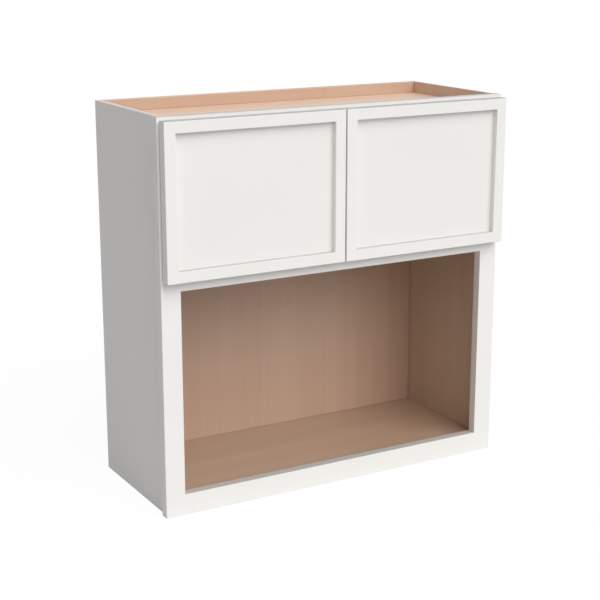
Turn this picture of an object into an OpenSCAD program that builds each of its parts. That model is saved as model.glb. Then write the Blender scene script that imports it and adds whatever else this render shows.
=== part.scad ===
// Framed wall cabinet with a microwave bay below and a pair of doors above.
// Millimetres. X runs to the right, Y to the wall, Z up.
// The origin is on the wall plane, at the middle of the cabinet's lower edge.

/* [Case] */
// Width over the face frame
cabinet_w = 762; // [640:1:915]
// Height of the case
cabinet_h = 762; // [700:1:915]
// Depth from the wall to the front of the face frame
cabinet_d = 304.8; // [280:0.1:406.4]
// Thickness of the side panels
side_t = 12.7; // [12:0.1:18]
// Thickness of the top, the floor and the middle deck
deck_t = 12.7; // [12:0.1:18]
// Thickness of the back panel
back_t = 3.2; // [3:0.1:6]
// Depth of the grooves in the side panels that take the decks and the back
groove_depth = 6; // [4:0.1:8]
// Drop of the top panel below the upper edge of the sides
top_recess = 22; // [15:0.5:34]
// Height of the bay's floor above the lower edge
floor_height = 33; // [25:0.5:40]
// Drop of the middle deck below the top of the middle rail
deck_drop = 2; // [1:0.5:10]
// Thickness of the hanging rails behind the back panel
hanger_t = 19; // [15:0.5:25]
// Height of each hanging rail
hanger_h = 76; // [60:1:110]

/* [Face frame] */
// Thickness of the face frame
frame_t = 19; // [18:0.5:22]
// How far the face frame stands out past each side panel
frame_overhang = 6.35; // [3:0.05:10]
// Width of the two stiles
stile_w = 40; // [38:0.5:50]
// Width of the top rail
top_rail_w = 40; // [38:0.5:60]
// Width of the middle rail
middle_rail_w = 40; // [38:0.5:60]
// Width of the bottom rail
bottom_rail_w = 42; // [41:0.5:60]
// Height of the microwave opening
bay_h = 398.6; // [330:0.1:410]
// Length of the tenons on the frame's rails
tenon_l = 12; // [8:0.5:18]
// Thickness of the tenons on the frame's rails
tenon_t = 8; // [6:0.5:9]
// Width cut away above and below each tenon of the frame
tenon_shoulder = 6; // [4:0.5:12]
// Depth of the groove in each stile that takes the side panel
stile_groove = 5; // [3:0.5:5.5]
// Size of the eased edges of the frame and the doors
ease = 0.8; // [0.4:0.1:1.2]

/* [Doors] */
// Thickness of a door
door_t = 20; // [18:0.5:22]
// Gap between a door's back and the face frame
door_standoff = 3.2; // [3:0.1:4]
// Face frame left showing beside each door
side_reveal = 3.6; // [3.5:0.1:6]
// Face frame left showing above the doors
top_reveal = 5.5; // [2:0.1:12]
// Gap between the two doors
meeting_gap = 3.2; // [2:0.1:5]
// How far the doors lap over the middle rail
middle_lap = 19.2; // [16:0.1:30]
// Width of the narrow border around a door's panel
border_w = 22.5; // [20:0.5:26]
// Depth of a door's panel behind the border
panel_recess = 11; // [6:0.5:11]
// How far the panel laps behind the border
panel_lap = 8; // [6:0.5:10]
// Length of the tongues on the door's rails
tongue_l = 8; // [6:0.5:10]
// Thickness of the tongues on the door's rails
tongue_t = 4; // [3:0.5:4]
// Width cut away above and below each tongue of the doors
tongue_shoulder = 5; // [3:0.5:7]
// Diameter of the door bumpers
bumper_d = 9; // [7:0.5:11]
// Distance of a bumper's centre from the door's edges
bumper_inset = 10; // [9:0.5:14]

/* [Hinges] */
// Distance of each hinge from the end of its door
hinge_end = 76; // [66:1:84]
// Diameter of the hinge cups
cup_d = 35; // [34:0.5:36]
// Depth of the hinge cups
cup_depth = 8; // [7.9:0.1:8.4]
// Thickness of a cup's sheet metal
cup_wall = 0.5; // [0.4:0.1:0.6]
// Wood left between a cup and the door's outer edge
cup_setback = 3; // [2.5:0.1:3.2]
// Distance of the pin from the door's outer edge
pin_inset = 6.2; // [6:0.1:6.3]
// Depth of the pin in the door's back
pin_depth = 5.5; // [5.4:0.1:5.6]
// Diameter of the hinge pin
pin_d = 1.8; // [1.6:0.1:2]
// Thickness of the two lugs in a cup that hold the pin
lug_t = 1.2; // [0.8:0.1:1.4]
// Metal around the pin in the arm's knuckle
knuckle_wall = 0.7; // [0.6:0.1:0.8]
// Width of the arm's knuckle
knuckle_w = 9; // [7:0.5:10]
// Width of the hinge arm
arm_w = 14; // [11:0.5:16]
// Thickness of the hinge arm
arm_t = 1.5; // [1.2:0.1:1.6]
// Thickness of the mounting plate
plate_t = 2; // [1.5:0.1:3]
// Height of the mounting plate
plate_h = 44; // [42:1:50]
// Distance between the plate's two screws
plate_screw_gap = 32; // [28:0.5:34]
// Distance between a cup's two screws
cup_screw_gap = 45; // [44:0.5:48]
// Diameter of the hinge screws' shanks
screw_d = 3.5; // [3:0.1:4]
// Diameter of the hinge screws' heads
head_d = 7; // [6:0.1:7.5]
// Length in the wood of the screws that hold a plate
plate_screw_l = 14; // [10:0.5:18]
// Length in the wood of the screws that hold a cup
cup_screw_l = 7; // [5:0.5:8]

/* [Hidden] */

paint = "#efeeea";        // off-white paint of the frame, the doors and the outside of the sides
veneer = "#d9b391";       // clear-coated maple veneer of the inside
solid_wood = "#d8bd98";   // bare poplar of the hanging rails
nickel = "#b9bab8";       // nickel-plated steel of the hinges
clear_rubber = "#dcdcd8"; // soft door bumpers

over = 1;        // overshoot of a cutter past the face that it opens
fit_gap = 0.05;  // radial clearance of a screw or pin in its hole
seat_gap = 0.1;  // clearance of a hinge cup in its bore, and past the end of a screw
rest_gap = 0.3;  // gap at the end of a tenon, and between parts that meet across a hinge
$fn = 96;

// Case
half_w = cabinet_w / 2;
frame_front = -cabinet_d;
frame_back = frame_front + frame_t;
side_outer = half_w - frame_overhang;
side_inner = side_outer - side_t;
back_front = -(hanger_t + back_t);
deck_half = side_inner + groove_depth;
top_under = cabinet_h - top_recess - deck_t;
floor_under = floor_height - deck_t;

// Face frame
opening_half = half_w - stile_w;
bay_top = bottom_rail_w + bay_h;
middle_top = bay_top + middle_rail_w;
upper_top = cabinet_h - top_rail_w;
deck_under = middle_top - deck_drop - deck_t;
tenon_front = frame_front + (frame_t - stile_groove - tenon_t) / 2;

// Doors
door_w = half_w - side_reveal - meeting_gap / 2;
door_low = middle_top - middle_lap;
door_h = cabinet_h - top_reveal - door_low;
door_back = frame_front - door_standoff;
door_left = -half_w + side_reveal;
panel_t = door_t - panel_recess;
tongue_back = panel_t + (panel_recess - tongue_t) / 2;  // from the door's back to a tongue
bumper_t = door_standoff - rest_gap;

// Hinges, in the door's own terms: u from its outer edge, v from its back towards its front
hinge_heights = [hinge_end, door_h - hinge_end];
cup_r = cup_d / 2;
cup_u = cup_setback + cup_r;
rim_t = 0.8;      // sheet of the cup's rim, which lies on the door's back
rim_w = 2;        // width of the rim around the cup
ear_r = 6;        // rounded ends of the rim, around the screws
lug_r = 2;        // metal of a lug around the pin's centre
ear_offset = 9.5; // from the cup's centre to the line of its screws
ear_u = cup_u + ear_offset;
knuckle_r = pin_d / 2 + knuckle_wall;
lug_z = knuckle_w / 2 + rest_gap;  // from the middle of the hinge to a lug
pin_half = lug_z + lug_t;
stile_u = stile_w - side_reveal;
plate_u = stile_u + plate_t;
tail_u = plate_u + arm_t;
plate_margin = 0.5;  // from the plate's edges to the frame's faces
plate_w = frame_t - 2 * plate_margin;
plate_v = -door_standoff - frame_t / 2;
head_t = 1.5;        // thickness of the screws' heads

// The arm's profile: a straight run in the cup, a slope out of it and a run in the gap behind the door
arm_deep_v = pin_depth + knuckle_r;
arm_low_v = arm_deep_v - arm_t;
arm_gap_v = -rim_t - rest_gap;
arm_end_v = plate_v - plate_w / 2 + 1;
straight_run = 8;  // from the pin to the first bend
gap_run = 7;       // from the second bend to the stile's inner edge
bend_start_u = pin_inset + straight_run;
bend_end_u = stile_u - gap_run;
slope_angle = atan2(arm_low_v - arm_gap_v + arm_t, bend_end_u - bend_start_u);
bend_shift = arm_t * tan(slope_angle / 2);

// ---- Helpers ----

// A box between two corners
module block(low, high) {
    translate(low) cube(high - low);
}

// Mirrors the left-hand parts to the right
module right_hand() {
    mirror([1, 0, 0]) children();
}

// Cutter for a 45 degree bevel along an edge through p that runs along Z, or along X
module ease_edge(p, length, along_x = false) {
    side = ease * sqrt(2);
    translate(p) rotate([0, along_x ? 90 : 0, 0]) rotate([0, 0, 45])
        cube([side, side, length], center = true);
}

// A cylinder along +Y from y = 0
module rod_y(d, h) {
    rotate([-90, 0, 0]) cylinder(d = d, h = h);
}

// A cylinder along +X from x = 0
module rod_x(d, h) {
    rotate([0, 90, 0]) cylinder(d = d, h = h);
}

// Puts a left-door piece, drawn in u, v and height, into place
module on_left_door() {
    translate([door_left, door_back, door_low]) mirror([0, 1, 0]) children();
}

// Puts a piece at the lower hinge, 0, or the upper one, 1, of the left door
module at_hinge(i) {
    on_left_door() translate([0, 0, hinge_heights[i]]) children();
}

// ---- Case ----

// Side panel with its grooves for the top, the floor, the deck and the back
module left_side_panel() {
    color(paint) difference() {
        block([-side_outer, frame_back - stile_groove, 0], [-side_inner, 0, cabinet_h]);
        for (z = [floor_under, deck_under, top_under])
            block([-deck_half, frame_back, z], [-side_inner + over, back_front, z + deck_t]);
        block([-deck_half, back_front, -over], [-side_inner + over, back_front + back_t, cabinet_h + over]);
    }
}

// A horizontal board from groove to groove, between the face frame and the back
module deck_board(under) {
    color(veneer) block([-deck_half, frame_back, under], [deck_half, back_front, under + deck_t]);
}

module back_panel() {
    color(veneer) block([-deck_half, back_front, 0], [deck_half, back_front + back_t, cabinet_h]);
}

// Solid rail behind the back, which takes the screws into the wall
module hanging_rail(low) {
    color(solid_wood) block([-side_inner, -hanger_t, low], [side_inner, 0, low + hanger_h]);
}

// ---- Face frame ----

// The left tenon of a rail, longer by some play where it is the mortise
module left_tenon(low, width, play) {
    block([-opening_half - tenon_l - play, tenon_front, low + tenon_shoulder],
          [-opening_half, tenon_front + tenon_t, low + width - tenon_shoulder]);
}

module frame_rail(low, width) {
    color(paint) union() {
        block([-opening_half, frame_front, low], [opening_half, frame_back, low + width]);
        left_tenon(low, width, 0);
        right_hand() left_tenon(low, width, 0);
    }
}

// Stile with its mortises, the groove for the side panel and the pilot holes for the hinge plates
module left_frame_stile() {
    color(paint) difference() {
        block([-half_w, frame_front, 0], [-opening_half, frame_back, cabinet_h]);
        block([-side_outer, frame_back - stile_groove, -over],
              [-side_inner, frame_back + over, cabinet_h + over]);
        left_tenon(0, bottom_rail_w, rest_gap);
        left_tenon(bay_top, middle_rail_w, rest_gap);
        left_tenon(upper_top, top_rail_w, rest_gap);
        ease_edge([-half_w, frame_front, cabinet_h / 2], cabinet_h + 2 * over);
        for (i = [0, 1]) at_hinge(i) for (s = [-1, 1])
            translate([stile_u - plate_screw_l - seat_gap, plate_v, s * plate_screw_gap / 2])
                rod_x(screw_d + 2 * fit_gap, plate_screw_l + seat_gap + over);
    }
}

// ---- Doors, drawn for the left-hand one ----

// The door's whole outline, with its front edges eased
module door_blank() {
    difference() {
        cube([door_w, door_t, door_h]);
        for (u = [0, door_w]) ease_edge([u, door_t, door_h / 2], door_h + 2 * over);
        for (z = [0, door_h]) ease_edge([door_w / 2, door_t, z], door_w + 2 * over, true);
    }
}

// Rabbet behind the border, which takes the panel
module panel_rabbet() {
    block([border_w - panel_lap, -over, border_w - panel_lap],
          [door_w - border_w + panel_lap, panel_t, door_h - border_w + panel_lap]);
}

// Tongues on both ends of the door rail that starts at the height low
module tongues(low, play) {
    reach = tongue_l + play;
    for (u = [border_w - reach, door_w - border_w])
        block([u, tongue_back, low + tongue_shoulder],
              [u + reach, tongue_back + tongue_t, low + border_w - tongue_shoulder]);
}

// Bores in the door for both hinge cups and their screws
module cup_bores() {
    for (h = hinge_heights) translate([0, -over, h]) {
        translate([cup_u, 0, 0]) rod_y(cup_d + 2 * seat_gap, over + cup_depth + seat_gap);
        for (s = [-1, 1]) translate([ear_u, 0, s * cup_screw_gap / 2])
            rod_y(screw_d + 2 * fit_gap, over + cup_screw_l + seat_gap);
    }
}

// Door stile between two distances from the outer edge
module left_door_stile(low, high) {
    color(paint) on_left_door() difference() {
        intersection() {
            door_blank();
            block([low, -over, -over], [high, door_t + over, door_h + over]);
        }
        panel_rabbet();
        for (u = [border_w, door_w - border_w])
            ease_edge([u, door_t, door_h / 2], door_h - 2 * border_w);
        for (z = [0, door_h - border_w]) tongues(z, rest_gap);
        cup_bores();
    }
}

// Door rail that starts at the height low
module left_door_rail(low) {
    color(paint) on_left_door() union() {
        difference() {
            intersection() {
                door_blank();
                block([border_w, -over, low], [door_w - border_w, door_t + over, low + border_w]);
            }
            panel_rabbet();
            for (z = [border_w, door_h - border_w])
                ease_edge([door_w / 2, door_t, z], door_w, true);
        }
        tongues(low, 0);
    }
}

module left_door_panel() {
    color(paint) on_left_door() difference() {
        block([border_w - panel_lap, 0, border_w - panel_lap],
              [door_w - border_w + panel_lap, panel_t, door_h - border_w + panel_lap]);
        cup_bores();
    }
}

// Soft pads near the door's free corners, which rest on the face frame
module left_door_bumpers() {
    color(clear_rubber) on_left_door() for (z = [bumper_inset, door_h - bumper_inset])
        translate([door_w - bumper_inset, -bumper_t, z]) rod_y(bumper_d, bumper_t);
}

// ---- Hinges of the left-hand door ----

// Sheet-metal cup with its rim and two screw ears
module hinge_shell() {
    difference() {
        union() {
            translate([cup_u, -rim_t, 0]) rod_y(cup_d + 2 * rim_w, rim_t);
            translate([cup_u, 0, 0]) rod_y(cup_d, cup_depth);
            block([ear_u - ear_r, -rim_t, -cup_screw_gap / 2], [ear_u + ear_r, 0, cup_screw_gap / 2]);
            for (s = [-1, 1]) translate([ear_u, -rim_t, s * cup_screw_gap / 2]) rod_y(2 * ear_r, rim_t);
        }
        translate([cup_u, -rim_t - over, 0])
            rod_y(cup_d - 2 * cup_wall, over + rim_t + cup_depth - cup_wall);
        for (s = [-1, 1]) translate([ear_u, -rim_t - over, s * cup_screw_gap / 2])
            rod_y(screw_d + 2 * fit_gap, rim_t + 2 * over);
    }
}

// The cup's two lugs, one on each side of the arm's knuckle, rooted in its wall and bottom
module hinge_lugs() {
    for (low = [-pin_half, lug_z]) intersection() {
        translate([cup_u, 0, 0]) rod_y(cup_d - cup_wall, cup_depth - cup_wall / 2);
        block([0, pin_depth - lug_r, low], [pin_inset + lug_r, cup_depth, low + lug_t]);
    }
}

module hinge_cup() {
    color(nickel) difference() {
        union() {
            hinge_shell();
            hinge_lugs();
        }
        translate([pin_inset, pin_depth, 0])
            cylinder(d = pin_d + 2 * fit_gap, h = 2 * pin_half + over, center = true);
    }
}

module hinge_pin() {
    color(nickel) translate([pin_inset, pin_depth, 0]) cylinder(d = pin_d, h = 2 * pin_half, center = true);
}

// Cranked arm: from the knuckle on the pin, out of the cup, past the stile's edge and along it
module hinge_arm() {
    profile = [
        [pin_inset, arm_deep_v], [bend_start_u + bend_shift, arm_deep_v],
        [bend_end_u + bend_shift, arm_gap_v], [tail_u, arm_gap_v], [tail_u, arm_end_v],
        [plate_u, arm_end_v], [plate_u, arm_gap_v - arm_t], [bend_end_u, arm_gap_v - arm_t],
        [bend_start_u, arm_low_v], [pin_inset, arm_low_v]
    ];
    color(nickel) difference() {
        union() {
            linear_extrude(arm_w, center = true) polygon(profile);
            translate([pin_inset, pin_depth, 0]) cylinder(r = knuckle_r, h = knuckle_w, center = true);
        }
        for (s = [-1, 1]) translate([bend_start_u - cup_r, pin_depth, s * (knuckle_w + arm_w) / 2])
            cube([cup_d, 2 * cup_depth, arm_w], center = true);
        translate([pin_inset, pin_depth, 0]) cylinder(d = pin_d + 2 * fit_gap, h = 2 * arm_w, center = true);
        translate([plate_u - over, plate_v, 0]) rod_x(screw_d + 2 * fit_gap, arm_t + 2 * over);
    }
}

// Round-ended plate on the stile's inner edge, with its screw holes
module hinge_plate() {
    end_z = (plate_h - plate_w) / 2;
    color(nickel) difference() {
        union() {
            block([stile_u, plate_v - plate_w / 2, -end_z], [plate_u, plate_v + plate_w / 2, end_z]);
            for (s = [-1, 1]) translate([stile_u, plate_v, s * end_z]) rod_x(plate_w, plate_t);
        }
        for (z = [-plate_screw_gap / 2, 0, plate_screw_gap / 2])
            translate([stile_u - over, plate_v, z]) rod_x(screw_d + 2 * fit_gap, plate_t + 2 * over);
    }
}

// Pan-head screw along +Y, its head behind y = 0 and a cross slot in the head
module pan_screw(length) {
    slot = [0.55 * head_d, 0.6 * head_t, 0.13 * head_d];
    difference() {
        union() {
            translate([0, -head_t, 0]) rod_y(head_d, head_t);
            rod_y(screw_d, length);
        }
        for (turn = [0, 90]) translate([0, -head_t, 0]) rotate([0, turn, 0])
            cube([slot[0], 2 * slot[1], slot[2]], center = true);
    }
}

// The two screws of one cup
module cup_screws() {
    color(nickel) for (s = [-1, 1])
        translate([ear_u, -rim_t, s * cup_screw_gap / 2]) pan_screw(rim_t + cup_screw_l);
}

// A screw through the plate towards the stile, with its head on the given distance u
module edge_screw(u, z, length) {
    color(nickel) translate([u, plate_v, z]) rotate([0, 0, 90]) pan_screw(length);
}

// ---- Case and face frame ----

left_side_panel();
right_hand() left_side_panel();  // right_side_panel
deck_board(top_under);  // top_panel
deck_board(floor_under);  // bottom_panel
deck_board(deck_under);  // middle_deck
back_panel();
hanging_rail(cabinet_h - hanger_h);  // upper_hanging_rail
hanging_rail(0);  // lower_hanging_rail
left_frame_stile();
right_hand() left_frame_stile();  // right_frame_stile
frame_rail(upper_top, top_rail_w);  // top_frame_rail
frame_rail(bay_top, middle_rail_w);  // middle_frame_rail
frame_rail(0, bottom_rail_w);  // bottom_frame_rail

// ---- Doors ----

left_door_stile(0, border_w);  // left_door_hinge_stile
left_door_stile(door_w - border_w, door_w);  // left_door_meeting_stile
left_door_rail(door_h - border_w);  // left_door_top_rail
left_door_rail(0);  // left_door_bottom_rail
left_door_panel();
left_door_bumpers();
right_hand() left_door_stile(0, border_w);  // right_door_hinge_stile
right_hand() left_door_stile(door_w - border_w, door_w);  // right_door_meeting_stile
right_hand() left_door_rail(door_h - border_w);  // right_door_top_rail
right_hand() left_door_rail(0);  // right_door_bottom_rail
right_hand() left_door_panel();  // right_door_panel
right_hand() left_door_bumpers();  // right_door_bumpers

// ---- Hinges ----

at_hinge(0) hinge_cup();  // left_lower_hinge_cup
at_hinge(0) hinge_pin();  // left_lower_hinge_pin
at_hinge(0) hinge_arm();  // left_lower_hinge_arm
at_hinge(0) hinge_plate();  // left_lower_hinge_plate
at_hinge(1) hinge_cup();  // left_upper_hinge_cup
at_hinge(1) hinge_pin();  // left_upper_hinge_pin
at_hinge(1) hinge_arm();  // left_upper_hinge_arm
at_hinge(1) hinge_plate();  // left_upper_hinge_plate
right_hand() at_hinge(0) hinge_cup();  // right_lower_hinge_cup
right_hand() at_hinge(0) hinge_pin();  // right_lower_hinge_pin
right_hand() at_hinge(0) hinge_arm();  // right_lower_hinge_arm
right_hand() at_hinge(0) hinge_plate();  // right_lower_hinge_plate
right_hand() at_hinge(1) hinge_cup();  // right_upper_hinge_cup
right_hand() at_hinge(1) hinge_pin();  // right_upper_hinge_pin
right_hand() at_hinge(1) hinge_arm();  // right_upper_hinge_arm
right_hand() at_hinge(1) hinge_plate();  // right_upper_hinge_plate

// Screws: two to a cup, two to a plate and one to an arm, which stops short of the wood
module both_cup_screws() {
    for (i = [0, 1]) at_hinge(i) cup_screws();
}

module both_plate_screws() {
    for (i = [0, 1], s = [-1, 1])
        at_hinge(i) edge_screw(plate_u, s * plate_screw_gap / 2, plate_t + plate_screw_l);
}

module both_arm_screws() {
    for (i = [0, 1]) at_hinge(i) edge_screw(tail_u, 0, arm_t + plate_t - rest_gap);
}

both_cup_screws();  // left_cup_screws
both_plate_screws();  // left_plate_screws
both_arm_screws();  // left_arm_screws
right_hand() both_cup_screws();  // right_cup_screws
right_hand() both_plate_screws();  // right_plate_screws
right_hand() both_arm_screws();  // right_arm_screws
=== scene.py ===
# %% [markdown]
# # A framed wall cabinet with a microwave bay
#
# The cabinet is a plywood case with a painted face frame on its front, an open bay below for a
# microwave oven and two doors above it. Its exact solids are packed already and come in as a fixed
# frame. This script gives them their looks: sanded edges, paint, veneer, nickel, a floor, light
# and the camera.
#
# Everything is in metres, with X to the right, Y to the wall and Z up. The origin is on the wall,
# at the middle of the cabinet's lower edge.

import math

import bmesh
import bpy
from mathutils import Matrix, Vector


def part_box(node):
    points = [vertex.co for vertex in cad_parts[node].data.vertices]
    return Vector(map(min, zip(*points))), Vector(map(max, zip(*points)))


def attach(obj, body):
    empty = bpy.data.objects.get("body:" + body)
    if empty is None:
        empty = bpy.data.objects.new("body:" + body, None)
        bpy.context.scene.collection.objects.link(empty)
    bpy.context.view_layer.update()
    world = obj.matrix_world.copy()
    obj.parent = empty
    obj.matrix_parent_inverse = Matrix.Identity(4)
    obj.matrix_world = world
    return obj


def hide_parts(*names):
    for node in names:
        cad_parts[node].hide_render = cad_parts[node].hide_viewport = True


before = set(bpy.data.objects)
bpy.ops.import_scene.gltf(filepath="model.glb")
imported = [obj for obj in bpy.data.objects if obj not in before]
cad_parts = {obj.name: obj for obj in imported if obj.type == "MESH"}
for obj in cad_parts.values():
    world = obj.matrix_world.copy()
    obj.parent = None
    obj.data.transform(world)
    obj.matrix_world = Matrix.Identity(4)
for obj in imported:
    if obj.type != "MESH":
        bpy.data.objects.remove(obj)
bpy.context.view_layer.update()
MM = 0.001

# %% [markdown]
# ## Camera
#
# The photograph was taken from the left of the cabinet and a little above it, with a long lens.
# The camera stands where the long edges of the cabinet fall on the same pixels as they do there.
# It could be placed by eye and shifted until it fits, but the shift would show in every other view.
# Here its place, turn and focal length were solved from those edges, so nothing is shifted or cropped.

# %% Camera
def aim(thing, azimuth, elevation):
    """Turns a camera or lamp so that it looks back from an azimuth and elevation in degrees.

    Azimuth 0 is straight in front of the cabinet, and it grows to the right.
    """
    turn, rise = math.radians(azimuth), math.radians(elevation)
    outward = Vector((
        math.sin(turn) * math.cos(rise), -math.cos(turn) * math.cos(rise), math.sin(rise),
    ))
    thing.rotation_mode = "QUATERNION"
    thing.rotation_quaternion = (-outward).to_track_quat("-Z", "Y")


camera_data = bpy.data.cameras.new("camera")
camera_data.sensor_width = 36
camera_data.lens = 82.986
camera = bpy.data.objects.new("camera", camera_data)
bpy.context.scene.collection.objects.link(camera)
bpy.context.scene.camera = camera
camera.location = (-1.3750, -2.5433, 1.0692)
aim(camera, azimuth=-29.876, elevation=14.701)
print("camera", round(camera.location.length, 3), "m from the origin")

# %% [markdown]
# ## Colours and nodes
#
# Paint shops and colour pickers give colours as sRGB hex values, but the renderer adds light in
# linear numbers. One function turns the first into the second. A second one adds a shader node,
# sets it and joins its inputs, so that a material reads as a short list of nodes.

# %% Helpers for colours and nodes
def linear(hex_colour):
    """An sRGB hex value as linear red, green, blue and alpha, by the standard sRGB curve."""
    values = [int(hex_colour[i:i + 2], 16) / 255 for i in (1, 3, 5)]
    return [v / 12.92 if v <= 0.04045 else ((v + 0.055) / 1.055) ** 2.4 for v in values] + [1.0]


def add(tree, kind, inputs=None, **settings):
    """Adds a shader node. An input is a plain value, or the output socket that feeds it."""
    node = tree.nodes.new("ShaderNode" + kind)
    for name, value in settings.items():
        setattr(node, name, value)
    for name, value in (inputs or {}).items():
        if isinstance(value, bpy.types.NodeSocket):
            tree.links.new(value, node.inputs[name])
        else:
            node.inputs[name].default_value = value
    return node


def new_material(name, preview):
    """An empty node material, its output, and its colour in a plain viewport."""
    material = bpy.data.materials.new(name)
    material.use_nodes = True
    material.node_tree.nodes.clear()
    material.diffuse_color = linear(preview)
    output = add(material.node_tree, "OutputMaterial")
    return material, material.node_tree, output


def stretched(tree, along, across_mm, along_mm, detail=2.0):
    """Noise from 0 to 1 whose cells are across_mm wide, and along_mm long on the axis along."""
    place = add(tree, "TexCoord").outputs["Object"]
    scale = [1 / (across_mm * MM)] * 3
    scale[along] = 1 / (along_mm * MM)
    scaled = add(tree, "Mapping", {"Vector": place, "Scale": scale}).outputs["Vector"]
    noise = add(tree, "TexNoise", {"Vector": scaled, "Scale": 1.0, "Detail": detail})
    return noise.outputs["Fac"]


X, Y, Z = 0, 1, 2
# A Mix node has sockets of the same name for numbers and for colours, so they go by their place. These
# are the share, the two colours, and the mixed colour that comes out
SHARE, FROM, TO, MIXED = 0, 6, 7, 2
print("mid grey #808080 in linear numbers:", round(linear("#808080")[0], 3))

# %% [markdown]
# ## Painted wood
#
# The frame, the doors and the outside of the case are sprayed with a catalysed varnish in off-white
# and left satin. Spraying leaves an orange peel about two millimetres across and a hundredth of a
# millimetre high, and on solid wood the pores below still show as faint lines along the grain. The tone
# drifts by a few steps of 255 over a hand's width. All three could be painted by hand as an image,
# but noise in real sizes gives the same and holds at any distance. In the photograph the solid wood of
# the frame and the door borders is a step or two brighter than the smooth boards, and it is here too.
#
# The ledges that look up get a greyer paint, and the tops of the doors the greyest. That is painted
# shade: the grey stands in for less light on these ledges. It draws the thin grey lines along the
# doors and below the bay.

# %% Painted wood
OFF_WHITE = "#F0EEEA"
VARNISH_IOR = 1.5


def satin_paint(name, grain=None, light=OFF_WHITE, dark="#EDEBE7"):
    """Off-white satin varnish. grain is the axis of the wood below it, or None on a smooth board."""
    material, tree, output = new_material(name, light)
    drift = stretched(tree, Z, across_mm=160, along_mm=160)
    tone = add(tree, "Mix", {SHARE: drift, FROM: linear(light), TO: linear(dark)}, data_type="RGBA")
    patches = stretched(tree, X, across_mm=45, along_mm=45)
    gloss = add(tree, "MapRange", {"Value": patches, "To Min": 0.40, "To Max": 0.48})
    peel = stretched(tree, X, across_mm=2, along_mm=2)
    bumped = add(tree, "Bump", {"Distance": 0.008 * MM, "Height": peel})
    if grain is not None:
        # A real pore is a tenth of a millimetre wide; this one is drawn wider, so that it shows
        pores = stretched(tree, grain, across_mm=0.8, along_mm=25, detail=3.0)
        bumped = add(tree, "Bump", {
            "Distance": 0.01 * MM, "Height": pores, "Normal": bumped.outputs["Normal"],
        })
    surface = add(tree, "BsdfPrincipled", {
        "Base Color": tone.outputs[MIXED], "Roughness": gloss.outputs["Result"],
        "IOR": VARNISH_IOR, "Normal": bumped.outputs["Normal"],
    })
    tree.links.new(surface.outputs["BSDF"], output.inputs["Surface"])
    return material


paint_upright = satin_paint("satin_paint_on_maple_upright", grain=Z, light="#F2F0EC", dark="#EFEDE9")
paint_level = satin_paint("satin_paint_on_maple_level", grain=X, light="#F1EFEB", dark="#EEECE8")
paint_board = satin_paint("satin_paint_on_smooth_board")
# Greyer paints that are painted shade, on faces that look up and deepest on the doors' tops
paint_shade_up = satin_paint("satin_paint_with_painted_shade", grain=X, light="#C0BEBB", dark="#BBB9B6")
paint_deepest_shade = satin_paint(
    "satin_paint_with_deepest_painted_shade", grain=X, light="#B2B0AD", dark="#ADABA8",
)
print("paints:", paint_upright.name, paint_level.name, paint_board.name)
print("painted shade:", paint_shade_up.name, paint_deepest_shade.name)

# %% [markdown]
# ## Maple veneer
#
# Inside, the plywood has a face of sliced maple under a clear varnish. A sheet is made of leaves
# 80 mm wide, cut one after the other from the same log, so each has a slightly different tone and a
# fine line shows where two meet. Within a leaf there are broad warm and pale stripes, hair-fine
# streaks and a few short dark flecks, all along the grain. Maple is a quiet wood, so all of these stay
# within a few steps of one tone. The grain runs up the sides and the back, and across the top and the
# floors.
#
# A picture of a board would end at its edges and repeat on the next board. Noise stretched along the
# grain goes on as far as the wood does, and every size in it can be given in millimetres.
#
# The varnish is a clear coat of its own, a little glossier than the wood, and it darkens the maple.
# The wood in the shallow tray on top of the cabinet is drawn paler: painted light, for the light
# that falls into the open tray. Where two boards meet in a corner, a fine dark line of painted shade
# is drawn on both boards.

# %% Maple veneer: its sizes, strengths and tones
LEAF_MM = 80
# How far a seam wanders from a straight line
SWAY_MM = 2
# A real seam is a tenth of a millimetre wide; this one is drawn wider, so that it shows in a render
SEAM_MM = 1.2
# The width of the line of painted shade in each corner. Drawn wider than it is for the
# same reason
CORNER_SHADE_MM = 1.8
# How much the tone of the leaf, the broad stripes and the fine streaks each add to the figure
LEAF_SHARE, STRIPE_SHARE, STREAK_SHARE = 0.30, 0.75, 0.45
# The figure is all warm at the first sum of the three, and all pale at the second
ALL_WARM, ALL_PALE = 0.45, 1.05
# A fleck is full where its noise is below the first number, and ends at the second
FLECK_FULL, FLECK_END = 0.22, 0.27
# How strongly each mark covers the wood, and its tone. The corner's mark is painted shade
FLECK_STRENGTH, SEAM_STRENGTH, CORNER_SHADE_STRENGTH = 0.6, 0.3, 0.55
FLECK_TONE, SEAM_TONE, CORNER_SHADE_TONE = "#A07C5F", "#94735A", "#6B4E3C"
# Painted light: the tray's paler tones begin over 0.5 mm, just below the upper face of the top board
TRAY_FROM_MM, TRAY_MM = 738.5, 739
print("veneer leaves:", LEAF_MM, "mm wide")


# %% Maple veneer: the material
def corner_shade_line(tree, parts, axis, at_mm):
    """Painted shade in a corner at a place on one axis, and as far on the other side of the origin."""
    far = add(tree, "Math", {0: parts.outputs[axis]}, operation="ABSOLUTE")
    away = add(tree, "Math", {0: far.outputs["Value"], 1: abs(at_mm) * MM}, operation="SUBTRACT")
    apart = add(tree, "Math", {0: away.outputs["Value"]}, operation="ABSOLUTE")
    line = add(tree, "MapRange", {
        "Value": apart.outputs["Value"], "From Max": CORNER_SHADE_MM * MM,
        "To Min": CORNER_SHADE_STRENGTH, "To Max": 0.0,
    })
    return line.outputs["Result"]


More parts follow.
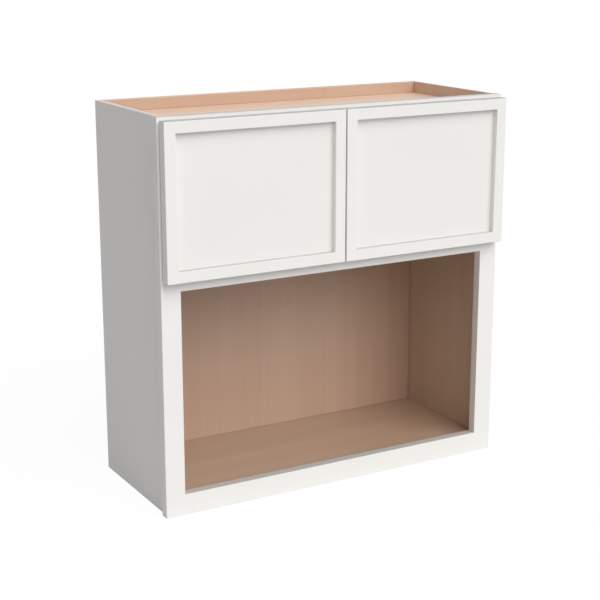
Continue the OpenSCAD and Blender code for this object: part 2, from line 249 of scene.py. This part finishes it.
def maple_veneer(name, tones, lit_tray_tones, grain, across, seam_at_mm, seam_tone=SEAM_TONE, corners=()):
    """Varnished maple, with its leaves side by side on the axis across and a seam at seam_at_mm.

    tones are the warm and the pale one, and lit_tray_tones are the same two in the tray, paler as
    painted light. corners are the places where another board meets this one, each as an axis and a
    place on it, and each gets a line of painted shade.
    """
    material, tree, output = new_material(name, tones[1])
    place = add(tree, "TexCoord").outputs["Object"]
    parts = add(tree, "SeparateXYZ", {"Vector": place})

    wander = stretched(tree, grain, across_mm=60, along_mm=900)
    sway = add(tree, "Math", {0: wander, 1: SWAY_MM * MM}, operation="MULTIPLY")
    swayed = add(tree, "Math", {0: parts.outputs[across], 1: sway.outputs["Value"]}, operation="ADD")
    leaf = add(tree, "Math", {
        0: swayed.outputs["Value"], 1: 1 / (LEAF_MM * MM), 2: -seam_at_mm / LEAF_MM,
    }, operation="MULTIPLY_ADD")
    number = add(tree, "Math", {0: leaf.outputs["Value"]}, operation="FLOOR")
    own_tone = add(tree, "TexWhiteNoise", {"W": number.outputs["Value"]}, noise_dimensions="1D")

    broad = stretched(tree, grain, across_mm=24, along_mm=700, detail=3.0)
    streak = stretched(tree, grain, across_mm=2.2, along_mm=90, detail=3.0)
    leaves = add(tree, "Math", {0: own_tone.outputs["Value"], 1: LEAF_SHARE}, operation="MULTIPLY")
    stripes = add(tree, "Math", {
        0: broad, 1: STRIPE_SHARE, 2: leaves.outputs["Value"],
    }, operation="MULTIPLY_ADD")
    lines = add(tree, "Math", {
        0: streak, 1: STREAK_SHARE, 2: stripes.outputs["Value"],
    }, operation="MULTIPLY_ADD")
    figure = add(tree, "MapRange", {
        "Value": lines.outputs["Value"], "From Min": ALL_WARM, "From Max": ALL_PALE,
    })

    # Painted light: the tray's boards take the paler tones
    tray_painted_light = add(tree, "MapRange", {
        "Value": parts.outputs[Z], "From Min": TRAY_FROM_MM * MM, "From Max": TRAY_MM * MM,
    })
    warm, pale = (
        add(tree, "Mix", {
            SHARE: tray_painted_light.outputs["Result"], FROM: linear(below), TO: linear(in_it),
        }, data_type="RGBA")
        for below, in_it in zip(tones, lit_tray_tones)
    )
    wood = add(tree, "Mix", {
        SHARE: figure.outputs["Result"], FROM: warm.outputs[MIXED], TO: pale.outputs[MIXED],
    }, data_type="RGBA")

    spots = stretched(tree, grain, across_mm=1.6, along_mm=9)
    fleck = add(tree, "MapRange", {
        "Value": spots, "From Min": FLECK_FULL, "From Max": FLECK_END,
        "To Min": FLECK_STRENGTH, "To Max": 0.0,
    })
    to_seam = add(tree, "Math", {0: leaf.outputs["Value"], 1: 0.5}, operation="PINGPONG")
    seam = add(tree, "MapRange", {
        "Value": to_seam.outputs["Value"], "From Max": SEAM_MM / 2 / LEAF_MM,
        "To Min": SEAM_STRENGTH, "To Max": 0.0,
    })
    marks = [(fleck.outputs["Result"], FLECK_TONE), (seam.outputs["Result"], seam_tone)]
    # Painted shade: a dark line where each other board meets this one
    marks += [(corner_shade_line(tree, parts, axis, at_mm), CORNER_SHADE_TONE) for axis, at_mm in corners]
    for share, mark_tone in marks:
        wood = add(tree, "Mix", {
            SHARE: share, FROM: wood.outputs[MIXED], TO: linear(mark_tone),
        }, data_type="RGBA")

    gloss = add(tree, "MapRange", {"Value": streak, "To Min": 0.40, "To Max": 0.50})
    # Maple's pores are finer than this; they are drawn wider, so that they show
    pores = stretched(tree, grain, across_mm=0.5, along_mm=12)
    bumped = add(tree, "Bump", {"Distance": 0.02 * MM, "Height": pores})
    surface = add(tree, "BsdfPrincipled", {
        "Base Color": wood.outputs[MIXED], "Roughness": gloss.outputs["Result"],
        "IOR": VARNISH_IOR, "Coat Weight": 0.6, "Coat Roughness": 0.3,
        "Normal": bumped.outputs["Normal"],
    })
    tree.links.new(surface.outputs["BSDF"], output.inputs["Surface"])
    return material


print("a corner's line is", CORNER_SHADE_MM, "mm wide on each board")

# %% [markdown]
# ## Veneer on each board
#
# The back, the sides and the level boards each get a veneer of their own, because their grain and their
# leaves run on different axes, and their tones differ a little in the photograph. One veneer for all
# would need its grain turned by the face it lies on. Where the boards meet is read from the packed
# model.

# %% Veneer on each board
# The front of the back board and the inner faces of the sides
BACK_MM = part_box("back_panel")[0].y / MM
SIDES_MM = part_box("right_side_panel")[0].x / MM
# The top of the bay's floor and of the board below the tray
FLOOR_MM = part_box("bottom_panel")[1].z / MM
TRAY_FLOOR_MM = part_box("top_panel")[1].z / MM
# The second pair of tones on each board is the tray's painted light
veneer_back = maple_veneer(
    "varnished_maple_veneer_back", ("#BE9D85", "#C5A68F"), ("#C1A188", "#C8AA92"),
    grain=Z, across=X, seam_at_mm=-18, seam_tone="#D8BCA6",
    corners=((X, SIDES_MM), (Z, FLOOR_MM), (Z, TRAY_FLOOR_MM)),
)
veneer_sides = maple_veneer(
    "varnished_maple_veneer_sides", ("#BEA48F", "#C8B29C"), ("#D8BCA3", "#DFC6AE"),
    grain=Z, across=Y, seam_at_mm=-72, corners=((Y, BACK_MM),),
)
veneer_floors = maple_veneer(
    "varnished_maple_veneer_floors", ("#AF9179", "#B99E87"), ("#DFB99D", "#E9C5AB"),
    grain=X, across=Y, seam_at_mm=-94, corners=((Y, BACK_MM), (X, SIDES_MM)),
)
places = (BACK_MM, SIDES_MM, FLOOR_MM, TRAY_FLOOR_MM)
print("corners at, mm:", [round(place_mm, 2) for place_mm in places])

# %% [markdown]
# ## Plywood edges and bare poplar
#
# The sides are 12.7 mm plywood, and their edges show at the top, the bottom and the back. The
# photograph is too small to count plies in, so five are taken, the even ones cut across the grain and
# darker. Five thin boards would give the same look with four seams to keep closed, so the plies are a
# pattern across the board instead. The rails behind the back are bare poplar, planed but not coated,
# pale with brownish streaks.

# %% Plywood edges
BOARD_MM, PLIES = 12.7, 5
# From one ply to the next the tone turns between these shares of the way, and not all at once
PLY_LIGHT, PLY_DARK = 0.4, 0.6


def plywood_edge(name, light, dark):
    """The sanded edge of an upright plywood side, with its plies one behind the other along X."""
    material, tree, output = new_material(name, light)
    place = add(tree, "TexCoord").outputs["Object"]
    parts = add(tree, "SeparateXYZ", {"Vector": place})
    depth = add(tree, "Math", {0: parts.outputs[X]}, operation="ABSOLUTE")
    plies = add(tree, "Math", {
        0: depth.outputs["Value"], 1: PLIES / (BOARD_MM * MM),
    }, operation="MULTIPLY")
    turn = add(tree, "Math", {0: plies.outputs["Value"], 1: 1.0}, operation="PINGPONG")
    share = add(tree, "MapRange", {
        "Value": turn.outputs["Value"], "From Min": PLY_LIGHT, "From Max": PLY_DARK,
    })
    blotch = add(tree, "Math", {
        0: stretched(tree, Y, across_mm=1.2, along_mm=14, detail=3.0), 1: share.outputs["Result"],
    }, operation="MULTIPLY")
    tone = add(tree, "Mix", {
        SHARE: blotch.outputs["Value"], FROM: linear(light), TO: linear(dark),
    }, data_type="RGBA")
    scratches = stretched(tree, Y, across_mm=0.5, along_mm=4)
    bumped = add(tree, "Bump", {"Distance": 0.05 * MM, "Height": scratches})
    surface = add(tree, "BsdfPrincipled", {
        "Base Color": tone.outputs[MIXED], "Roughness": 0.65, "Normal": bumped.outputs["Normal"],
    })
    tree.links.new(surface.outputs["BSDF"], output.inputs["Surface"])
    return material


pale_edge = plywood_edge("sanded_plywood_edge_pale", "#E9DED4", "#CFBBA8")
warm_edge = plywood_edge("sanded_plywood_edge_warm", "#B9947A", "#9A775C")
print("edges:", pale_edge.name, warm_edge.name, "with plies of", BOARD_MM / PLIES, "mm")


# %% Bare poplar
# How much the streaks add to the broad stripes, and the sums that are all brownish and all pale
POPLAR_STREAK_SHARE = 0.4
ALL_BROWNISH, ALL_PALE_POPLAR = 0.45, 0.95


def bare_poplar():
    """Planed poplar with its grain along X."""
    material, tree, output = new_material("planed_bare_poplar", "#D0B596")
    broad = stretched(tree, X, across_mm=18, along_mm=420, detail=3.0)
    streak = stretched(tree, X, across_mm=1.8, along_mm=70, detail=3.0)
    figure = add(tree, "Math", {
        0: streak, 1: POPLAR_STREAK_SHARE, 2: broad,
    }, operation="MULTIPLY_ADD")
    share = add(tree, "MapRange", {
        "Value": figure.outputs["Value"], "From Min": ALL_BROWNISH, "From Max": ALL_PALE_POPLAR,
    })
    tone = add(tree, "Mix", {
        SHARE: share.outputs["Result"], FROM: linear("#C6AD98"), TO: linear("#DEC8B5"),
    }, data_type="RGBA")
    bumped = add(tree, "Bump", {"Distance": 0.04 * MM, "Height": streak})
    surface = add(tree, "BsdfPrincipled", {
        "Base Color": tone.outputs[MIXED], "Roughness": 0.62, "Normal": bumped.outputs["Normal"],
    })
    tree.links.new(surface.outputs["BSDF"], output.inputs["Surface"])
    return material


poplar = bare_poplar()
print("rails:", poplar.name)

# %% [markdown]
# ## Nickel plate and clear rubber
#
# The hinges and their screws are pressed steel with bright nickel over it: a metal, slightly warm,
# with faint rolling lines a fifth of a millimetre apart. The bumpers are cast polyurethane, clear but a
# little milky. Pure refraction would leave so small a dome dark, because hardly any light finds the
# paint behind it and back. Scattering below the surface gives the pale, soft look it really has.

# %% Nickel plate and clear rubber
def nickel_plate():
    """Nickel-plated pressed steel with rolling lines along Z."""
    material, tree, output = new_material("nickel_plated_steel", "#B9BAB8")
    lines = stretched(tree, Z, across_mm=0.2, along_mm=6)
    tone = add(tree, "Mix", {
        SHARE: lines, FROM: linear("#BDBAB2"), TO: linear("#D3D0C8"),
    }, data_type="RGBA")
    gloss = add(tree, "MapRange", {"Value": lines, "To Min": 0.24, "To Max": 0.36})
    surface = add(tree, "BsdfPrincipled", {
        "Base Color": tone.outputs[MIXED], "Metallic": 1.0, "Roughness": gloss.outputs["Result"],
    })
    tree.links.new(surface.outputs["BSDF"], output.inputs["Surface"])
    return material


def clear_polyurethane():
    """Cast clear polyurethane, slightly milky."""
    material, tree, output = new_material("cast_clear_polyurethane", "#DCDCD8")
    cloud = stretched(tree, Z, across_mm=2, along_mm=2)
    tone = add(tree, "Mix", {
        SHARE: cloud, FROM: linear("#ECECE6"), TO: linear("#F6F6F2"),
    }, data_type="RGBA")
    surface = add(tree, "BsdfPrincipled", {
        "Base Color": tone.outputs[MIXED], "Roughness": 0.28, "IOR": 1.49,
        "Transmission Weight": 0.15, "Subsurface Weight": 0.5,
        "Subsurface Radius": (1.0, 1.0, 1.0), "Subsurface Scale": 1.5 * MM,
    })
    tree.links.new(surface.outputs["BSDF"], output.inputs["Surface"])
    return material


nickel = nickel_plate()
polyurethane = clear_polyurethane()
print("hardware:", nickel.name, polyurethane.name)

# %% [markdown]
# ## Pieces that keep their CAD solid
#
# The boards inside, the door panels and the hinges already have their real shape. They could be
# replaced by copies, but nothing about them would get better, so they only get their material. A CAD
# node is never moved and its mesh is never edited.

# %% Materials on the CAD nodes
def dress(material, slot, *names):
    """Gives CAD nodes a material. slot is not used."""
    for name in names:
        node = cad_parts[name]
        node.data.materials.clear()
        node.data.materials.append(material)


dress(veneer_floors, "maple_veneer", "top_panel", "bottom_panel", "middle_deck")
dress(veneer_back, "maple_veneer", "back_panel")
dress(poplar, "poplar", "upper_hanging_rail", "lower_hanging_rail")
dress(paint_board, "painted_wood", "left_door_panel", "right_door_panel")
METAL_ENDINGS = ("hinge_cup", "hinge_pin", "hinge_arm", "hinge_plate", "screws")
metal_nodes = [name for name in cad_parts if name.endswith(METAL_ENDINGS)]
dress(nickel, "nickel_steel", *metal_nodes)
print("metal nodes:", len(metal_nodes))

# %% [markdown]
# ## Sanded edges
#
# No painted edge is left knife-sharp: sandpaper takes off a few tenths of a millimetre, and the
# light catches there as a thin line. The frame, the borders of the doors and the sides need this, but
# their joints have to stay tight. A Bevel modifier would round every edge. Here each piece starts as
# a merged copy of its CAD node, and only the outward edges that touch no other piece are bevelled.
# The bevels are smooth and the faces stay flat, so no shading spreads over a flat board.

# %% Sanding
# Shorter edges stay sharp, and so do edges that turn by less than this angle
SHORTEST_SANDED_MM = 10
LEAST_TURN = math.radians(30)
# An edge this close to another node's box touches it
REACH_MM = 0.05


def merged_copy(node):
    """A bmesh of a CAD node with its loose triangles merged to whole faces."""
    shape = bmesh.new()
    shape.from_mesh(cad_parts[node].data)
    bmesh.ops.remove_doubles(shape, verts=shape.verts, dist=0.002 * MM)
    bmesh.ops.dissolve_limit(
        shape, angle_limit=math.radians(0.5), verts=shape.verts, edges=shape.edges,
    )
    return shape


def cut_at(shape, height):
    """Adds a line of edges round the piece at a height, so that a bevel can stop there."""
    bmesh.ops.bisect_plane(
        shape, geom=shape.verts[:] + shape.edges[:] + shape.faces[:],
        dist=0.001 * MM, plane_co=(0, 0, height), plane_no=(0, 0, 1),
    )


def touches(point, boxes):
    """True where a point is inside one of the boxes or on it."""
    reach = REACH_MM * MM
    return any(
        all(low[i] - reach < point[i] < high[i] + reach for i in range(3)) for low, high in boxes
    )


def sand(shape, width_mm, neighbours):
    """Rounds the long outward edges that touch no neighbouring node, and says how many."""
    boxes = [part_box(name) for name in neighbours]
    edges = []
    for edge in shape.edges:
        middle = (edge.verts[0].co + edge.verts[1].co) / 2
        short = edge.calc_length() < SHORTEST_SANDED_MM * MM
        if not edge.is_manifold or short or touches(middle, boxes):
            continue
        if edge.calc_face_angle_signed() > LEAST_TURN:
            edges.append(edge)
    made = bmesh.ops.bevel(
        shape, geom=edges, offset=width_mm * MM, offset_type="OFFSET", affect="EDGES",
        segments=2, profile=0.5, material=-1, clamp_overlap=True,
    )
    for face in made["faces"]:
        face.smooth = True
    return len(edges)


print("edges shorter than", SHORTEST_SANDED_MM, "mm stay sharp")

# %% Painted shade on faces that look up, and placing
# Plain paint, and painted shade on faces that look up and on their upper ends
PLAIN_PAINT, SHADE_UP, DEEPEST_SHADE = 0, 1, 2
# A face looks up where its normal rises more than this
LOOKS_UP = 0.7
# A face whose middle is this close to the top of the piece is its upper end
TOP_REACH_MM = 0.5


def paint_shade_on_up_faces(shape, top_shade=SHADE_UP):
    """Painted shade: grey paint on the ledges that look up, and top_shade on the upper end."""
    top = max(vert.co.z for vert in shape.verts)
    for face in shape.faces:
        if face.normal.z < LOOKS_UP:
            face.material_index = PLAIN_PAINT
        elif face.calc_center_median().z > top - TOP_REACH_MM * MM:
            face.material_index = top_shade
        else:
            face.material_index = SHADE_UP


def place_piece(name, shape, materials, body, node):
    """Makes the bmesh a piece that rides on a body and stands for its CAD node."""
    mesh = bpy.data.meshes.new(name)
    shape.to_mesh(mesh)
    shape.free()
    for material in materials:
        mesh.materials.append(material)
    piece = bpy.data.objects.new(name, mesh)
    bpy.context.scene.collection.objects.link(piece)
    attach(piece, body)
    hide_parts(node)


print("a face looks up within", round(math.degrees(math.acos(LOOKS_UP))), "degrees of level")

# %% [markdown]
# ## Face frame
#
# Two stiles run the full height, and three rails are tenoned between them. Rounding a stile's inner
# edge over its full height would open a groove at each joint, though the real joints are flush under
# the paint. So the stiles are first cut at the rails' heights, and only the stretches along the
# openings are rounded.

# %% Face frame
FRAME_NODES = (
    "left_frame_stile", "right_frame_stile", "top_frame_rail", "middle_frame_rail", "bottom_frame_rail",
)
CASE_NODES = (
    "left_side_panel", "right_side_panel", "top_panel", "bottom_panel", "middle_deck", "back_panel",
    "upper_hanging_rail", "lower_hanging_rail",
)
rail_boxes = [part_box(name) for name in FRAME_NODES if name.endswith("rail")]
for node in FRAME_NODES:
    shape = merged_copy(node)
    upright = node.endswith("stile")
    if upright:
        for low, high in rail_boxes:
            cut_at(shape, low.z)
            cut_at(shape, high.z)
    others = [name for name in FRAME_NODES + CASE_NODES if name != node]
    sanded = sand(shape, width_mm=0.35, neighbours=others)
    # Painted shade on the frame's ledges that look up
    paint_shade_on_up_faces(shape)
    coats = [paint_upright if upright else paint_level, paint_shade_up]
    place_piece("sanded_" + node, shape, coats, "cabinet", node)
    print(node, "sanded edges:", sanded)

# %% [markdown]
# ## Door borders
#
# A door is a narrow border of two stiles and two rails round a thin flat panel. The border could be
# one ring, but its grain turns at the corners, and each bar has its own. The sprayer's paint hides
# the joints, so only the long edges are rounded.

# %% Door borders
BARS = ("hinge_stile", "meeting_stile", "top_rail", "bottom_rail")
for side in ("left", "right"):
    body = side + "_door"
    for bar in BARS:
        node = body + "_" + bar
        shape = merged_copy(node)
        others = [body + "_" + name for name in BARS + ("panel",) if name != bar]
        sanded = sand(shape, width_mm=0.3, neighbours=others)
        # Painted shade on the doors' ledges, deepest on their tops
        paint_shade_on_up_faces(shape, SHADE_UP if bar == "bottom_rail" else DEEPEST_SHADE)
        coats = [paint_level if bar.endswith("rail") else paint_upright, paint_shade_up, paint_deepest_shade]
        place_piece("sanded_" + node, shape, coats, body, node)
        print(node, "sanded edges:", sanded)

# %% [markdown]
# ## Sides
#
# Each side is one board with three finishes: paint outside, varnished veneer inside and in its
# grooves, and sawn plies on its edges. Three thin skins would have to meet without a gap, so it stays
# one mesh, and its faces are sorted by where they lie and which way they look. In the photograph the
# left board's upper edge is a pale line, and the right one's is no paler than the veneer beside it, so
# the plies of the two have different tones.

# %% Sides
PAINT_FACE, VENEER_FACE, PLY_FACE = 0, 1, 2
# A face whose middle is this close to the end of the board belongs to that end
END_REACH_MM = 0.3
# A face looks outward where its normal leans out more than this
LOOKS_OUT = 0.5
for side, outward, edge_material in (("left", -1, pale_edge), ("right", 1, warm_edge)):
    node = side + "_side_panel"
    low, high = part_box(node)
    shape = merged_copy(node)
    others = [name for name in FRAME_NODES + CASE_NODES if name != node]
    sanded = sand(shape, width_mm=0.4, neighbours=others)
    reach = END_REACH_MM * MM
    for face in shape.faces:
        centre = face.calc_center_median()
        near_end = centre.z > high.z - reach or centre.z < low.z + reach
        if face.normal.x * outward > LOOKS_OUT:
            face.material_index = PAINT_FACE
        elif near_end or centre.y > high.y - reach:
            face.material_index = PLY_FACE
        else:
            face.material_index = VENEER_FACE
    finishes = [paint_board, veneer_sides, edge_material]
    place_piece("sanded_" + node, shape, finishes, "cabinet", node)
    print(node, "sanded edges:", sanded)

# %% [markdown]
# ## Bumpers
#
# A bumper is a small cast dome with a flat top, stuck to the back of the door so that it closes
# softly. A flattened ball would have no flat top. So half of its section is drawn as an outline and
# spun round, and the two rings above its foot are rounded with a bevel.

# %% Bumpers
# The wall is this share of the height, and the flat top this share of the radius
WALL_SHARE, TOP_SHARE = 0.4, 0.62
# Rings below this share of the height belong to the foot, which lies on the door and stays sharp
FOOT_SHARE = 0.3
RIM_MM = 0.6
LEAST_RIM_TURN = math.radians(15)
# Points this close together are one, and edges whose ends are this close in height are level
CLOSE_MM = 0.01
# A face is flat on top or below where its normal leans along Y by at least this
FLAT = 0.999
for side in ("left", "right"):
    node = side + "_door_bumpers"
    low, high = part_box(node)
    radius = (high.x - low.x) / 2
    thick = high.y - low.y
    shape = bmesh.new()
    for height in (low.z + radius, high.z - radius):
        centre = Vector((low.x + radius, low.y, height))
        outline = [
            (0, 0), (radius, 0), (radius, thick * WALL_SHARE), (radius * TOP_SHARE, thick), (0, thick),
        ]
        points = [shape.verts.new(centre + Vector((r, y, 0))) for r, y in outline]
        edges = [shape.edges.new(pair) for pair in zip(points, points[1:])]
        bmesh.ops.spin(
            shape, geom=points + edges, cent=centre, axis=(0, 1, 0), angle=math.tau, steps=40,
            use_merge=True,
        )
    bmesh.ops.remove_doubles(shape, verts=shape.verts, dist=CLOSE_MM * MM)
    bmesh.ops.recalc_face_normals(shape, faces=shape.faces)
    rims = []
    for edge in shape.edges:
        first, second = (vert.co.y - low.y for vert in edge.verts)
        ring = abs(first - second) < CLOSE_MM * MM and first > thick * FOOT_SHARE
        if ring and edge.calc_face_angle() > LEAST_RIM_TURN:
            rims.append(edge)
    bmesh.ops.bevel(
        shape, geom=rims, offset=RIM_MM * MM, offset_type="OFFSET", affect="EDGES",
        segments=3, profile=0.5, material=-1,
    )
    for face in shape.faces:
        face.smooth = abs(face.normal.y) < FLAT
    place_piece("cast_" + node, shape, [polyurethane], side + "_door", node)
    print(node, "rim edges:", len(rims))

# %% [markdown]
# ## Floor and room
#
# The photograph's ground is pure white. A white floor under that much light would throw it all back
# up at the cabinet, so the floor and the room have two sides: to the camera, and in reflections,
# they shine white, and to every other ray they are plain. A little matt white is left in what the
# camera sees, and the object's shadow shows in that.

# %% Floor
FLOOR_M = 12.0
# The floor lies a little below the cabinet, so that the two don't share a plane
FLOOR_DROP_MM = 0.5
# What the camera sees is nearly all glow, and a little matt white takes the shadow
GLOW, SHADE = 0.95, 0.06


def seen_directly(tree):
    """1 for rays from the camera, off gloss or through glass, and 0 for light that warms surfaces."""
    path = add(tree, "LightPath").outputs
    seen = add(tree, "Math", {0: path["Is Camera Ray"], 1: path["Is Glossy Ray"]}, operation="MAXIMUM")
    seen = add(tree, "Math", {
        0: seen.outputs["Value"], 1: path["Is Transmission Ray"],
    }, operation="MAXIMUM")
    return seen.outputs["Value"]


floor_shape = bmesh.new()
bmesh.ops.create_grid(floor_shape, x_segments=1, y_segments=1, size=FLOOR_M / 2)
bmesh.ops.translate(floor_shape, verts=floor_shape.verts, vec=(0, 0, -FLOOR_DROP_MM * MM))
floor_mesh = bpy.data.meshes.new("floor")
floor_shape.to_mesh(floor_mesh)
floor_shape.free()
floor = bpy.data.objects.new("floor", floor_mesh)
bpy.context.scene.collection.objects.link(floor)

floor_material, tree, output = new_material("matt_white_floor", "#F4F4F2")
matt = add(tree, "BsdfDiffuse", {"Color": linear("#C8C8C6")})
shade = add(tree, "BsdfDiffuse", {"Color": (SHADE, SHADE, SHADE, 1)})
glow = add(tree, "Emission", {"Color": (1, 1, 1, 1), "Strength": GLOW})
shown_floor = add(tree, "AddShader", {0: shade.outputs["BSDF"], 1: glow.outputs["Emission"]})
mixed = add(tree, "MixShader", {
    0: seen_directly(tree), 1: matt.outputs["BSDF"], 2: shown_floor.outputs["Shader"],
})
tree.links.new(mixed.outputs["Shader"], output.inputs["Surface"])
floor_mesh.materials.append(floor_material)
print("floor", FLOOR_M, "m wide, with", floor_material.name)

# %% Room
world = bpy.data.worlds.new("room")
bpy.context.scene.world = world
world.use_nodes = True
tree = world.node_tree
tree.nodes.clear()
# Weak, and a trace blue, matched to the side in shade
soft_room = add(tree, "Background", {"Color": (0.99, 0.98, 1.03, 1), "Strength": 0.28})
white_room = add(tree, "Background", {"Color": (1, 1, 1, 1), "Strength": 1.0})
mixed = add(tree, "MixShader", {
    0: seen_directly(tree), 1: soft_room.outputs["Background"], 2: white_room.outputs["Background"],
})
add(tree, "OutputWorld", {"Surface": mixed.outputs["Shader"]})
print("room lights with", round(soft_room.inputs["Strength"].default_value, 2))

# %% [markdown]
# ## Lamp
#
# The light in the photograph comes from the front and above, and its shadows have broad edges, as
# from a large soft box. A lamp close by would light the near corner more than the far one. So this one
# is far away with a wide angle: its light falls at the same angle on the whole cabinet.

# %% Lamp
lamp_data = bpy.data.lights.new("front_box", "SUN")
lamp_data.energy = 2.65
lamp_data.angle = math.radians(60)
lamp = bpy.data.objects.new("front_box", lamp_data)
bpy.context.scene.collection.objects.link(lamp)
aim(lamp, azimuth=12, elevation=44)
bpy.context.scene.view_settings.view_transform = "Standard"
print("lamps:", [data.name for data in bpy.data.lights])
